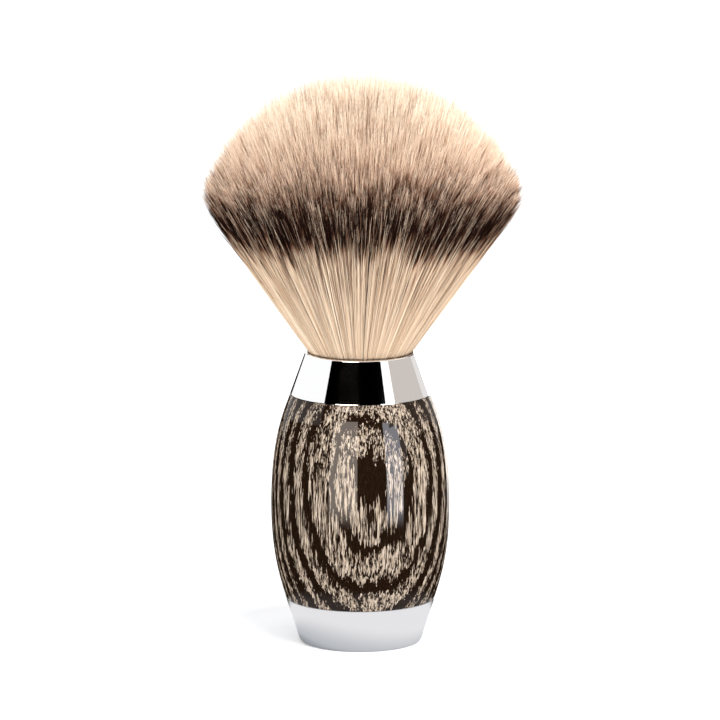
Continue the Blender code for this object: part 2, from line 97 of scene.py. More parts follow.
def groove(spigot_radius, ring):
    """The outline of an O-ring's groove in a spigot, from its upper edge to its lower one."""
    low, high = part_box(ring)[0].z - GAP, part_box(ring)[1].z + GAP
    floor = inner_radius(ring) - NEAR
    return [(spigot_radius, high), (floor, high), (floor, low), (spigot_radius, low)]


class HandleSettings(bpy.types.PropertyGroup):
    """What a user would change on the handle."""

    seam: FloatProperty(
        name="Seam",
        description="Width of the fine line between wood and metal",
        default=0.05 * MM,
        min=0.0,
        unit="LENGTH",
    )
    edge_round: FloatProperty(
        name="Edge rounding",
        description="Rounding of the metal's edges where they meet the wood",
        default=0.09 * MM,
        min=0.0,
        unit="LENGTH",
    )
    rim_round: FloatProperty(
        name="Rim rounding",
        description="Rounding of the ferrule's lip",
        default=0.3 * MM,
        min=0.0,
        unit="LENGTH",
    )
    foot_round: FloatProperty(
        name="Foot rounding",
        description="Rounding of the edge that the brush stands on",
        default=0.6 * MM,
        min=0.0,
        unit="LENGTH",
    )
    metal_colour: FloatVectorProperty(
        name="Plating",
        description="Colour of the polished plating",
        default=(0.95, 0.95, 0.955),
        subtype="COLOR",
        min=0.0,
        max=1.0,
    )
    heartwood: FloatVectorProperty(
        name="Dark wood",
        description="Colour of the dense bands of the wood",
        default=(0.0070, 0.0036, 0.0019),
        subtype="COLOR",
        min=0.0,
        max=1.0,
    )
    lime: FloatVectorProperty(
        name="Filled pores",
        description="Colour of the pale filler in the wood's pores",
        default=(0.50, 0.41, 0.325),
        subtype="COLOR",
        min=0.0,
        max=1.0,
    )
    ring_spacing: FloatProperty(
        name="Ring spacing",
        description="Thickness of one growth ring",
        default=2.5 * MM,
        min=0.5 * MM,
        unit="LENGTH",
    )


class FibreSettings(bpy.types.PropertyGroup):
    """What a user would change on the knot."""

    outer_count: IntProperty(
        name="Outer fibres",
        description="Full-length fibres in each group round the outside",
        default=3900,
        min=1,
    )
    inner_count: IntProperty(
        name="Inner fibres",
        description="Fibres in each group that fills the dome",
        default=9900,
        min=1,
    )
    thickness: FloatProperty(
        name="Thickness",
        description="Thickness of one fibre",
        default=0.14 * MM,
        min=0.01 * MM,
        unit="LENGTH",
    )
    cream: FloatVectorProperty(
        name="Cream",
        description="Colour of the fibres away from the band",
        default=(0.95, 0.76, 0.565),
        subtype="COLOR",
        min=0.0,
        max=1.0,
    )
    band: FloatVectorProperty(
        name="Band",
        description="Colour of the dark band",
        default=(0.018, 0.006, 0.0035),
        subtype="COLOR",
        min=0.0,
        max=1.0,
    )
    band_height: FloatProperty(
        name="Band height",
        description="Where the dark band's middle lies along a fibre, from the ferrule's rim",
        default=40 * MM,
        min=0.0,
        unit="LENGTH",
    )


class StageSettings(bpy.types.PropertyGroup):
    """Where the camera stands and how bright the studio is."""

    distance: FloatProperty(
        name="Camera distance",
        description="From the camera to the point it looks at",
        default=1.0,
        min=0.1,
        unit="LENGTH",
    )
    elevation: FloatProperty(
        name="Camera elevation",
        description="How far above the horizon the camera stands",
        default=math.radians(9.96),
        subtype="ANGLE",
    )
    view_width: FloatProperty(
        name="View width",
        description="Width of what the camera sees at the point it looks at",
        default=154.8 * MM,
        min=0.01,
        unit="LENGTH",
    )
    surroundings: FloatProperty(
        name="Surroundings",
        description="Brightness of the white room",
        default=1.6,
        min=0.0,
    )


# Meshes


def as_object(name, shape):
    """Turns a bmesh into an object at the origin, shaded smooth between its sharp edges."""
    bmesh.ops.remove_doubles(shape, verts=shape.verts[:], dist=NEAR / 10)
    bmesh.ops.recalc_face_normals(shape, faces=shape.faces[:])
    mesh = bpy.data.meshes.new(name)
    shape.to_mesh(mesh)
    shape.free()
    mesh.shade_smooth()
    mesh.set_sharp_from_angle(angle=SMOOTH_ANGLE)
    made = bpy.data.objects.new(name, mesh)
    bpy.context.scene.collection.objects.link(made)
    return made


def turned(outline, steps=TURNED_STEPS):
    """A bmesh turned about Z from an outline of (radius, height). The outline closes on itself, or it
    starts and ends on the axis."""
    shape = bmesh.new()
    corners = [shape.verts.new((radius, 0.0, height)) for radius, height in outline]
    for start, end in zip(corners, corners[1:]):
        shape.edges.new((start, end))
    if outline[0][0] > 0:
        shape.edges.new((corners[-1], corners[0]))
    bmesh.ops.spin(
        shape,
        geom=shape.verts[:] + shape.edges[:],
        axis=(0.0, 0.0, 1.0),
        angle=math.tau,
        steps=steps,
        use_merge=True,
    )
    bmesh.ops.remove_doubles(shape, verts=shape.verts[:], dist=NEAR / 10)
    bmesh.ops.recalc_face_normals(shape, faces=shape.faces[:])
    return shape


def braced(start, end, start_round, end_round):
    """The corners of a straight run whose ends will be rounded, with one more corner just past each
    rounding to keep the run's shading straight."""
    start, end = Vector(start), Vector(end)
    along = (end - start).normalized()
    upper, lower = start + along * (start_round + 4 * NEAR), end - along * (end_round + 4 * NEAR)
    return [tuple(corner) for corner in (start, upper, start.lerp(end, 0.5), lower, end)]


def round_edge(shape, ring, width, segments):
    """Rounds the circular edge that an outline's corner (radius, height) became."""

    def on_ring(vert):
        radius, height = math.hypot(vert.co.x, vert.co.y), vert.co.z
        return abs(radius - ring[0]) < NEAR and abs(height - ring[1]) < NEAR

    edges = [edge for edge in shape.edges if all(on_ring(vert) for vert in edge.verts)]
    bmesh.ops.bevel(
        shape,
        geom=edges,
        offset=width,
        offset_type="OFFSET",
        affect="EDGES",
        segments=segments,
        profile=0.5,
        material=-1,
        clamp_overlap=True,
    )


def place(made, body, slot, finish, *nodes):
    """Gives a finished piece its body and its material, and hides the frame nodes that it stands for.
    slot is not used.
    """
    made.data.materials.append(finish)
    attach(made, body)
    if nodes:
        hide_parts(*nodes)
    return made


# Shader nodes


def add(tree, kind, wires=None, **settings):
    """Adds a shader node. wires maps an input's name or number to a value or to another node's output."""
    made = tree.nodes.new("ShaderNode" + kind)
    for key, value in settings.items():
        setattr(made, key, value)
    for key, value in (wires or {}).items():
        if isinstance(value, bpy.types.NodeSocket):
            tree.links.new(value, made.inputs[key])
        else:
            made.inputs[key].default_value = value
    return made


def calc(tree, operation, *values):
    return add(tree, "Math", dict(enumerate(values)), operation=operation).outputs[0]


def ease(tree, value, low, high, start=0.0, end=1.0):
    """Runs smoothly from start to end as value goes from low to high."""
    wires = {"Value": value, "From Min": low, "From Max": high, "To Min": start, "To Max": end}
    return add(tree, "MapRange", wires, interpolation_type="SMOOTHSTEP").outputs[0]


def blend_colour(tree, factor, first, second):
    wires = {0: factor, 6: first, 7: second}
    return add(tree, "Mix", wires, data_type="RGBA").outputs[2]


def shaded(colour, *factors):
    """A colour with its three channels multiplied, as RGBA."""
    return (*(min(channel * factor, 1.0) for channel, factor in zip(colour, factors)), 1.0)


def noise(tree, vector, scale, detail=2.0, rough=0.5):
    wires = {"Vector": vector, "Scale": scale, "Detail": detail, "Roughness": rough}
    return add(tree, "TexNoise", wires).outputs[0]


def stretch(tree, vector, scale):
    """Scales a pattern's coordinates differently along each axis."""
    return add(tree, "Mapping", {"Vector": vector, "Scale": scale}).outputs[0]


def millimetres(tree):
    """The point on the piece, in millimetres."""
    place_on_piece = add(tree, "TexCoord").outputs["Object"]
    return stretch(tree, place_on_piece, (1 / MM, 1 / MM, 1 / MM))


def new_finish(name, colour, roughness, metallic=0.0, coat=0.0, coat_roughness=0.03):
    """A material with a Principled shader. Gives the material, its tree and its shader."""
    made = bpy.data.materials.new(name)
    made.use_nodes = True
    tree = made.node_tree
    shader = tree.nodes["Principled BSDF"]
    shader.inputs["Base Color"].default_value = (*colour, 1.0)
    shader.inputs["Roughness"].default_value = roughness
    shader.inputs["Metallic"].default_value = metallic
    shader.inputs["Coat Weight"].default_value = coat
    shader.inputs["Coat Roughness"].default_value = coat_roughness
    return made, tree, shader


def group_socket(group, name, direction, kind="NodeSocketFloat", default=None):
    made = group.interface.new_socket(name, in_out=direction, socket_type=kind)
    if default is not None:
        made.default_value = default


def wiped_metal_group():
    """Faint wiping marks and a soft haze, as handled metal has. Puts out a roughness and a height."""
    group = bpy.data.node_groups.new("wiped metal", "ShaderNodeTree")
    group_socket(group, "Smoothest", "INPUT", default=0.03)
    group_socket(group, "Roughest", "INPUT", default=0.08)
    group_socket(group, "Roughness", "OUTPUT")
    group_socket(group, "Height", "OUTPUT")
    given, result = group.nodes.new("NodeGroupInput"), group.nodes.new("NodeGroupOutput")
    point = millimetres(group)
    haze = noise(group, point, 0.12, 3.0)
    marks = noise(group, stretch(group, point, (0.6, 0.6, 7.0)), 1.0, 3.0, 0.6)
    mixed = calc(group, "ADD", calc(group, "MULTIPLY", haze, 0.6), calc(group, "MULTIPLY", marks, 0.4))
    wires = {
        "Value": mixed,
        "From Min": 0.35,
        "From Max": 0.65,
        "To Min": given.outputs["Smoothest"],
        "To Max": given.outputs["Roughest"],
    }
    rough = add(group, "MapRange", wires).outputs[0]
    group.links.new(rough, result.inputs["Roughness"])
    group.links.new(marks, result.inputs["Height"])
    return group


def metal_finish(name, colour, smoothest, roughest, bump):
    """Bare or plated metal with the wiped metal group's marks."""
    made, tree, shader = new_finish(name, colour, smoothest, 1.0)
    marks = tree.nodes.new("ShaderNodeGroup")
    marks.node_tree = bpy.data.node_groups.get("wiped metal") or wiped_metal_group()
    marks.inputs["Smoothest"].default_value = smoothest
    marks.inputs["Roughest"].default_value = roughest
    tree.links.new(marks.outputs["Roughness"], shader.inputs["Roughness"])
    wires = {"Height": marks.outputs["Height"], "Strength": bump, "Distance": 0.01 * MM}
    tree.links.new(add(tree, "Bump", wires).outputs[0], shader.inputs["Normal"])
    return made


def moulded_group():
    """A mottle between two shades and a fine grain, as moulded pieces have. Puts out the mottle, a
    roughness and a height."""
    group = bpy.data.node_groups.new("moulded surface", "ShaderNodeTree")
    group_socket(group, "Grain Scale", "INPUT", default=4.0)
    group_socket(group, "Roughness", "INPUT", default=0.4)
    group_socket(group, "Colour", "INPUT", "NodeSocketColor", (0.8, 0.75, 0.64, 1.0))
    group_socket(group, "Dark Colour", "INPUT", "NodeSocketColor", (0.76, 0.7, 0.58, 1.0))
    group_socket(group, "Colour", "OUTPUT", "NodeSocketColor")
    group_socket(group, "Roughness", "OUTPUT")
    group_socket(group, "Height", "OUTPUT")
    given, result = group.nodes.new("NodeGroupInput"), group.nodes.new("NodeGroupOutput")
    point = millimetres(group)
    mottle = ease(group, noise(group, point, 0.35, 4.0, 0.6), 0.35, 0.65)
    shade = blend_colour(group, mottle, given.outputs["Dark Colour"], given.outputs["Colour"])
    grain = noise(group, point, given.outputs["Grain Scale"], 3.0, 0.6)
    spread = ease(group, grain, 0.3, 0.7, 0.8, 1.2)
    rough = calc(group, "MULTIPLY", spread, given.outputs["Roughness"])
    group.links.new(shade, result.inputs["Colour"])
    group.links.new(rough, result.inputs["Roughness"])
    group.links.new(grain, result.inputs["Height"])
    return group


def moulded_finish(name, colour, dark, roughness, grain_scale, bump):
    """Plastic, resin or rubber with the moulded surface group's mottle and grain."""
    made, tree, shader = new_finish(name, colour, roughness)
    surface = tree.nodes.new("ShaderNodeGroup")
    surface.node_tree = bpy.data.node_groups.get("moulded surface") or moulded_group()
    surface.inputs["Grain Scale"].default_value = grain_scale
    surface.inputs["Roughness"].default_value = roughness
    surface.inputs["Colour"].default_value = (*colour, 1.0)
    surface.inputs["Dark Colour"].default_value = (*dark, 1.0)
    tree.links.new(surface.outputs["Colour"], shader.inputs["Base Color"])
    tree.links.new(surface.outputs["Roughness"], shader.inputs["Roughness"])
    wires = {"Height": surface.outputs["Height"], "Strength": bump, "Distance": 0.05 * MM}
    tree.links.new(add(tree, "Bump", wires).outputs[0], shader.inputs["Normal"])
    return made


def finish_named(name, maker, *values):
    """The material of this name, made the first time that it is asked for."""
    return bpy.data.materials.get(name) or maker(name, *values)


def plating():
    colour = tuple(bpy.context.scene.brush_handle.metal_colour)
    return finish_named("polished plating", metal_finish, colour, 0.015, 0.035, 0.008)


# The wood's figure. Depths are in millimetres under the outermost ring, and a stretch is a noise's
# repeats per millimetre across, through and along the barrel.
RING_YAW = math.radians(7.4)
RING_PITCH = math.radians(6.2)
RING_MIDDLE_X = 2.5
RING_BEND = 0.008  # curve of the rings across the grain
HEART_DEPTH = 0.30  # the dark patch in the middle of the figure
FIRST_DARK_RING = 1.27
DRIFT, DRIFT_STRETCH = 1.2, (0.16, 0.16, 0.05)
WAVER, WAVER_STRETCH = 1.3, (0.55, 0.55, 0.10)
FINGER_STRETCH = (3.0, 3.0, 0.2)
SHALLOW_FINGERS, DEEP_FINGERS, DEEP = 0.7, 1.7, 2.5
FINE_PORES, FINE_STRETCH = 0.55, (5.0, 5.0, 0.28)
BROAD_PORES, BROAD_STRETCH = 0.45, (2.2, 2.2, 0.11)
PATCHES, PATCH_STRETCH = 0.18, (0.4, 0.4, 0.14)
FEWEST_PORES, MOST_PORES = 0.68, 0.49  # how high the pores' noise has to be for a pore
FILLER_STRETCH = (3.0, 3.0, 0.35)
GROUND_STRETCH = (7.0, 7.0, 0.6)


def ring_depth(tree, point):
    """How deep each point lies in the growth rings, with their slow bends and the ragged fingers that
    the pores make of their edges. The rings are curved sheets one behind another."""
    facing = Vector(
        (
            math.sin(RING_YAW) * math.cos(RING_PITCH),
            -math.cos(RING_YAW) * math.cos(RING_PITCH),
            math.sin(RING_PITCH),
        )
    )
    apex = max(
        radius_at_height(z) * math.cos(RING_PITCH) + z * math.sin(RING_PITCH)
        for z in np.linspace(BARREL_LOW, BARREL_HIGH, 200)
    )
    towards = add(tree, "VectorMath", {0: point, 1: facing}, operation="DOT_PRODUCT").outputs["Value"]
    depth = calc(tree, "SUBTRACT", apex / MM, towards)
    across = calc(tree, "SUBTRACT", add(tree, "SeparateXYZ", {0: point}).outputs[0], RING_MIDDLE_X)
    bend = calc(tree, "MULTIPLY", calc(tree, "MULTIPLY", across, across), RING_BEND)
    depth = calc(tree, "SUBTRACT", depth, bend)
    for size, scale in ((DRIFT, DRIFT_STRETCH), (WAVER, WAVER_STRETCH)):
        shift = noise(tree, stretch(tree, point, scale), 1.0)
        depth = calc(tree, "ADD", depth, calc(tree, "MULTIPLY_ADD", shift, size, -size / 2))
    fingers = noise(tree, stretch(tree, point, FINGER_STRETCH), 1.0, 2.0, 0.6)
    reach = ease(tree, depth, 0.0, DEEP, SHALLOW_FINGERS, DEEP_FINGERS)
    swing = calc(tree, "MULTIPLY", calc(tree, "SUBTRACT", fingers, 0.5), reach)
    return calc(tree, "ADD", depth, swing)


def pore_share(tree, depth, spacing):
    """How closely the pores stand at a depth, from 0 to 1. They start sparsely after a dark ring, thicken
    outwards and stop sharply at the next one. The first dark ring is thinner than the others."""
    rings = calc(tree, "DIVIDE", calc(tree, "SUBTRACT", depth, FIRST_DARK_RING), spacing / MM)
    phase = calc(tree, "FRACT", rings)
    later = ease(tree, rings, 0.7, 1.8)
    wires = {
        "Value": phase,
        "From Min": calc(tree, "MULTIPLY_ADD", later, 0.10, 0.04),
        "From Max": calc(tree, "MULTIPLY_ADD", later, 0.38, 0.22),
    }
    rise = add(tree, "MapRange", wires, interpolation_type="SMOOTHSTEP").outputs[0]
    fall = ease(tree, phase, 0.91, 0.97, 1.0, 0.0)
    beyond_heart = ease(tree, depth, HEART_DEPTH - 0.1, HEART_DEPTH + 0.1)
    return calc(tree, "MULTIPLY", calc(tree, "MULTIPLY", rise, fall), beyond_heart)


def pore_mask(tree, point, share):
    """1 in a pore and 0 beside it. The pores are streaks along the grain."""
    fine = noise(tree, stretch(tree, point, FINE_STRETCH), 1.0, 3.0, 0.65)
    broad = noise(tree, stretch(tree, point, BROAD_STRETCH), 1.0, 2.0, 0.6)
    fine, broad = calc(tree, "MULTIPLY", fine, FINE_PORES), calc(tree, "MULTIPLY", broad, BROAD_PORES)
    streak = calc(tree, "ADD", fine, broad)
    patch = noise(tree, stretch(tree, point, PATCH_STRETCH), 1.0)
    sparse = calc(tree, "MULTIPLY_ADD", patch, PATCHES, -PATCHES / 2)
    threshold = calc(tree, "ADD", ease(tree, share, 0.0, 1.0, FEWEST_PORES, MOST_PORES), sparse)
    return ease(tree, calc(tree, "SUBTRACT", streak, threshold), -0.01, 0.05)


def wood_finish(name, settings):
    """Dark open-pored wood with pale filled pores, under clear lacquer. The barrel's bulge cuts the
    growth rings in nested ovals at the front."""
    dark, lime = tuple(settings.heartwood), tuple(settings.lime)
    made, tree, shader = new_finish(name, dark, 0.42, coat=0.5, coat_roughness=0.02)
    shader.inputs["Specular IOR Level"].default_value = 0.0
    point = millimetres(tree)
    pore = pore_mask(tree, point, pore_share(tree, ring_depth(tree, point), settings.ring_spacing))
    filler_noise = noise(tree, stretch(tree, point, FILLER_STRETCH), 1.0, 3.0, 0.6)
    stained = shaded(lime, 0.42, 0.38, 0.34)
    filler = blend_colour(tree, ease(tree, filler_noise, 0.32, 0.66), stained, (*lime, 1.0))
    ground_noise = noise(tree, stretch(tree, point, GROUND_STRETCH), 1.0, 3.0, 0.6)
    lighter = shaded(dark, 2.6, 2.4, 2.2)
    ground = blend_colour(tree, ease(tree, ground_noise, 0.4, 0.75), (*dark, 1.0), lighter)
    tree.links.new(blend_colour(tree, pore, ground, filler), shader.inputs["Base Color"])
    wires = {"Height": pore, "Strength": 0.15, "Distance": 0.04 * MM}
    tree.links.new(add(tree, "Bump", wires).outputs[0], shader.inputs["Normal"])
    return made


# The handle


FOOT_ZONE = 2 * MM  # the height in which the foot's widest lower corner lies
FOOT_CHAMFER = 0.4 * MM  # height of the frame's chamfer there, which a rounding replaces
BARREL_CURVE_DEGREE = 6
BARREL_STEPS = 72
SMALL_ROUND, LARGE_ROUND = 3, 6  # segments of a rounded edge


def barrel_curve():
    """A smooth curve through the outer corners of the frame's barrel, of radius by height."""
    reach = {}
    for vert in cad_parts["wood_barrel"].data.vertices:
        key = round(vert.co.z / NEAR)
        reach[key] = max(reach.get(key, 0.0), math.hypot(vert.co.x, vert.co.y))
    socket = FERRULE_SPIGOT_RADIUS + 2 * GAP
    points = [(key * NEAR, radius) for key, radius in reach.items() if radius > socket]
    heights, radii = np.array(sorted(points)).T
    return np.polynomial.Polynomial.fit(heights, radii, BARREL_CURVE_DEGREE)


BARREL_CURVE = barrel_curve()


def radius_at_height(height):
    return float(BARREL_CURVE(height))


class BRUSH_OT_base(bpy.types.Operator):
    """Build the polished foot and the disc under it"""

    bl_idname = "brush.build_base"
    bl_label = "Foot"

    def execute(self, context):
        settings = context.scene.brush_handle
        foot_radius = radius_at("base_disc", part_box("base_disc")[0].z)
        top = (radius_at("base_cap", BARREL_LOW - GAP), LOWER_SEAM_Z - settings.seam / 2)
        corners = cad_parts["base_cap"].data.vertices
        low = [math.hypot(v.co.x, v.co.y) for v in corners if v.co.z < FOOT_ZONE]
        slope = (top[0] - max(low)) / top[1]
        foot = (max(low) - slope * FOOT_CHAMFER, 0.0)
        spigot_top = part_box("base_cap")[1].z
        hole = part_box("head_washer")[1].x + GAP
        screw = inner_radius("base_cap")
        disc_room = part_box("base_disc")[1].z + GAP
        head_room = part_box("head_washer")[1].z + GAP
        outline = [
            (screw, spigot_top),
            (BASE_SPIGOT_RADIUS, spigot_top),
            *groove(BASE_SPIGOT_RADIUS, "base_o_ring"),
            (BASE_SPIGOT_RADIUS, top[1]),
            *braced(top, foot, settings.edge_round, settings.foot_round),
            (foot_radius + GAP, 0.0),
            (foot_radius + GAP, disc_room),
            (hole, disc_room),
            (hole, head_room),
            (screw, head_room),
        ]
        shape = turned(outline)
        round_edge(shape, top, settings.edge_round, SMALL_ROUND)
        round_edge(shape, foot, settings.foot_round, LARGE_ROUND)
        round_edge(shape, (foot_radius + GAP, 0.0), settings.edge_round, SMALL_ROUND)
        place(as_object("foot", shape), "handle", "chrome", plating(), "base_cap")
        disc_low, disc_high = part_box("base_disc")[0].z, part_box("base_disc")[1].z
        edge = (foot_radius + GAP / 2, disc_low)
        disc = turned([(0.0, disc_high), (edge[0], disc_high), edge, (0.0, disc_low)])
        round_edge(disc, edge, settings.edge_round, SMALL_ROUND)
        place(as_object("foot_disc", disc), "handle", "chrome", plating(), "base_disc")
        return {"FINISHED"}


class BRUSH_OT_barrel(bpy.types.Operator):
    """Build the wooden barrel"""

    bl_idname = "brush.build_barrel"
    bl_label = "Wooden barrel"

    def execute(self, context):
        settings = context.scene.brush_handle
        foot_z, top_z = LOWER_SEAM_Z + settings.seam / 2, UPPER_SEAM_Z - settings.seam / 2
        heights = np.linspace(top_z, foot_z, BARREL_STEPS)
        outer = [(radius_at_height(z), z) for z in heights]
        upper_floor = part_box("ferrule")[0].z - GAP
        lower_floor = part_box("base_cap")[1].z + GAP
        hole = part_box("tie_screw")[1].x - GAP
        outline = [
            (FERRULE_SPIGOT_RADIUS + GAP, top_z),
            *outer,
            (BASE_SPIGOT_RADIUS + GAP, foot_z),
            (BASE_SPIGOT_RADIUS + GAP, lower_floor),
            (hole, lower_floor),
            (hole, upper_floor),
            (FERRULE_SPIGOT_RADIUS + GAP, upper_floor),
        ]
        shape = turned(outline)
        round_edge(shape, outer[0], settings.seam, 2)
        round_edge(shape, outer[-1], settings.seam, 2)
        finish = finish_named("dark limed wood", wood_finish, settings)
        place(as_object("barrel", shape), "handle", "wood", finish, "wood_barrel")
        return {"FINISHED"}


class BRUSH_OT_ferrule(bpy.types.Operator):
    """Build the polished collar that holds the knot"""

    bl_idname = "brush.build_ferrule"
    bl_label = "Collar"

    def execute(self, context):
        settings = context.scene.brush_handle
        foot = (radius_at("ferrule", BARREL_HIGH + GAP), UPPER_SEAM_Z + settings.seam / 2)
        rim = (RIM_RADIUS, RIM_Z)
        lip = (BORE_RADIUS, RIM_Z)
        bush = outer_radius("threaded_bush") + GAP
        bush_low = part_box("threaded_bush")[0].z - GAP
        nut_room = outer_radius("threaded_bush") - 4 * GAP
        nut_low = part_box("nut_washer")[0].z - GAP
        spigot_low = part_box("ferrule")[0].z
        screw = inner_radius("ferrule")
        outline = [
            lip,
            *braced(rim, foot, settings.rim_round, settings.edge_round),
            (FERRULE_SPIGOT_RADIUS, foot[1]),
            *groove(FERRULE_SPIGOT_RADIUS, "ferrule_o_ring"),
            (FERRULE_SPIGOT_RADIUS, spigot_low),
            (screw, spigot_low),
            (screw, nut_low),
            (nut_room, nut_low),
            (nut_room, bush_low),
            (bush, bush_low),
            (bush, SEAT_Z),
            (BORE_RADIUS, SEAT_Z),
        ]
        shape = turned(outline)
        round_edge(shape, rim, settings.rim_round, LARGE_ROUND)
        round_edge(shape, foot, settings.edge_round, SMALL_ROUND)
        place(as_object("collar", shape), "handle", "chrome", plating(), "ferrule")
        return {"FINISHED"}


class BRUSH_OT_fittings(bpy.types.Operator):
    """Finish the pieces inside the handle and the knot's holder"""

    bl_idname = "brush.finish_fittings"
    bl_label = "Inner fittings"

    def execute(self, context):
        zinc = (metal_finish, (0.60, 0.61, 0.63), 0.22, 0.36, 0.15)
        rubber = (moulded_finish, (0.028, 0.028, 0.03), (0.016, 0.016, 0.017), 0.75, 6.0, 0.3)
        resin = (moulded_finish, (0.62, 0.42, 0.17), (0.5, 0.32, 0.12), 0.15, 1.5, 0.1)
        ivory = (moulded_finish, (0.80, 0.75, 0.64), (0.76, 0.7, 0.58), 0.4, 4.0, 0.1)
        finishes = {
            "tie_screw": ("zinc plated steel", *zinc),
            "tie_nut": ("zinc plated steel", *zinc),
            "head_washer": ("zinc plated steel", *zinc),
            "nut_washer": ("zinc plated steel", *zinc),
            "upper_pin": ("zinc plated steel", *zinc),
            "lower_pin": ("zinc plated steel", *zinc),
            "threaded_bush": ("machined brass", metal_finish, (0.78, 0.58, 0.27), 0.16, 0.3, 0.2),
            "binding_ring": ("plain aluminium", metal_finish, (0.82, 0.83, 0.84), 0.25, 0.4, 0.2),
            "knot_seal": ("black rubber", *rubber),
            "base_o_ring": ("black rubber", *rubber),
            "ferrule_o_ring": ("black rubber", *rubber),
            "potting_plug": ("cured resin", *resin),
            "knot_holder": ("ivory plastic", *ivory),
        }
        for node, (name, maker, *values) in finishes.items():
            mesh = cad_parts[node].data
            mesh.materials.clear()
            mesh.materials.append(finish_named(name, maker, *values))
        return {"FINISHED"}


# The knot

FAN_RIM_RADIUS = BORE_RADIUS - GAP  # of the fan where it leaves the ferrule
FAN_CORNER_RADIUS = outer_radius("fibre_bundle")
FAN_CORNER_Z = max(
    v.co.z
    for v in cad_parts["fibre_bundle"].data.vertices
    if math.hypot(v.co.x, v.co.y) > FAN_CORNER_RADIUS - 0.2 * MM
)
FAN_SLOPE = (FAN_CORNER_RADIUS - FAN_RIM_RADIUS) / (FAN_CORNER_Z - RIM_Z)
DOME_TOP = FAN_TOP_Z - RIM_Z
# The dome is the sphere through its top and the fan's corner.
DOME_SAG = FAN_TOP_Z - FAN_CORNER_Z
DOME_RADIUS = (FAN_CORNER_RADIUS**2 + DOME_SAG**2) / (2 * DOME_SAG)
DOME_CENTRE = DOME_TOP - DOME_RADIUS
KNOT_SWAY = 0.5 * MM  # of the tips towards +X
WIDEST = FAN_CORNER_RADIUS + 1.6 * MM  # how far the longest strays reach from the axis
SIDE_DYE = 4 * MM  # how much lower the band lies at the knot's two sides
ROOT_DEPTH = 2 * MM  # how far the fibres start below the rim
DYE_START = -4 * MM
DYE_LENGTH = 72 * MM
DYE_COLUMNS = 512
LENGTH_GROUPS = 8
GROUP_COLUMNS = DYE_COLUMNS // LENGTH_GROUPS


def rise_of(share):
    """How much of a fibre's length is height, for its share of the fan's radius."""
    return 1 / np.sqrt(1 + (share * FAN_SLOPE) ** 2)


def length_to_dome(share):
    """A fibre's length from the rim to the dome, for its share of the fan's radius."""
    a = 1 + (share * FAN_SLOPE) ** 2
    b = share**2 * FAN_RIM_RADIUS * FAN_SLOPE - DOME_CENTRE
    c = (share * FAN_RIM_RADIUS) ** 2 + DOME_CENTRE**2 - DOME_RADIUS**2
    return (-b + np.sqrt(b * b - a * c)) / a / rise_of(share)


SHORTEST, LONGEST = float(length_to_dome(1.0)), float(length_to_dome(0.0))


def fibre_template(segments):
    """One fibre along Z from 0 to 1: a three-sided rod with a pointed end."""
    shape = bmesh.new()
    bmesh.ops.create_cone(shape, cap_ends=True, segments=3, radius1=1.0, radius2=1.0, depth=1.0)
    bmesh.ops.translate(shape, verts=shape.verts[:], vec=(0.0, 0.0, 0.5))
    sides = [e for e in shape.edges if abs(e.verts[0].co.z - e.verts[1].co.z) > 0.5]
    bmesh.ops.subdivide_edges(shape, edges=sides, cuts=segments - 1)
    bmesh.ops.recalc_face_normals(shape, faces=shape.faces[:])
    mesh = bpy.data.meshes.new("fibre")
    shape.to_mesh(mesh)
    shape.free()
    return mesh


def many(mesh, count, name):
    """An object that holds count copies of a mesh, one after another."""
    single = bpy.data.objects.new(name, mesh)
    bpy.context.scene.collection.objects.link(single)
    rows = single.modifiers.new("Array", "ARRAY")
    rows.count = count
    rows.use_relative_offset = False
    graph = bpy.context.evaluated_depsgraph_get()
    single.data = bpy.data.meshes.new_from_object(single.evaluated_get(graph))
    single.modifiers.clear()
    bpy.data.meshes.remove(mesh)
    return single


def nearest(points, centres):
    """For each point, the index of the nearest centre."""
    tree = kdtree.KDTree(len(centres))
    for index, (x, y) in enumerate(centres):
        tree.insert((x, y, 0.0), index)
    tree.balance()
    return np.array([tree.find((x, y, 0.0))[1] for x, y in points])


def on_disc(rng, count, inner=0.0, outer=1.0):
    """Points spread evenly over a ring of the unit disc."""
    radius = np.sqrt(rng.uniform(inner**2, outer**2, count))
    angle = rng.uniform(0, math.tau, count)
    return np.stack([radius * np.cos(angle), radius * np.sin(angle)], 1)


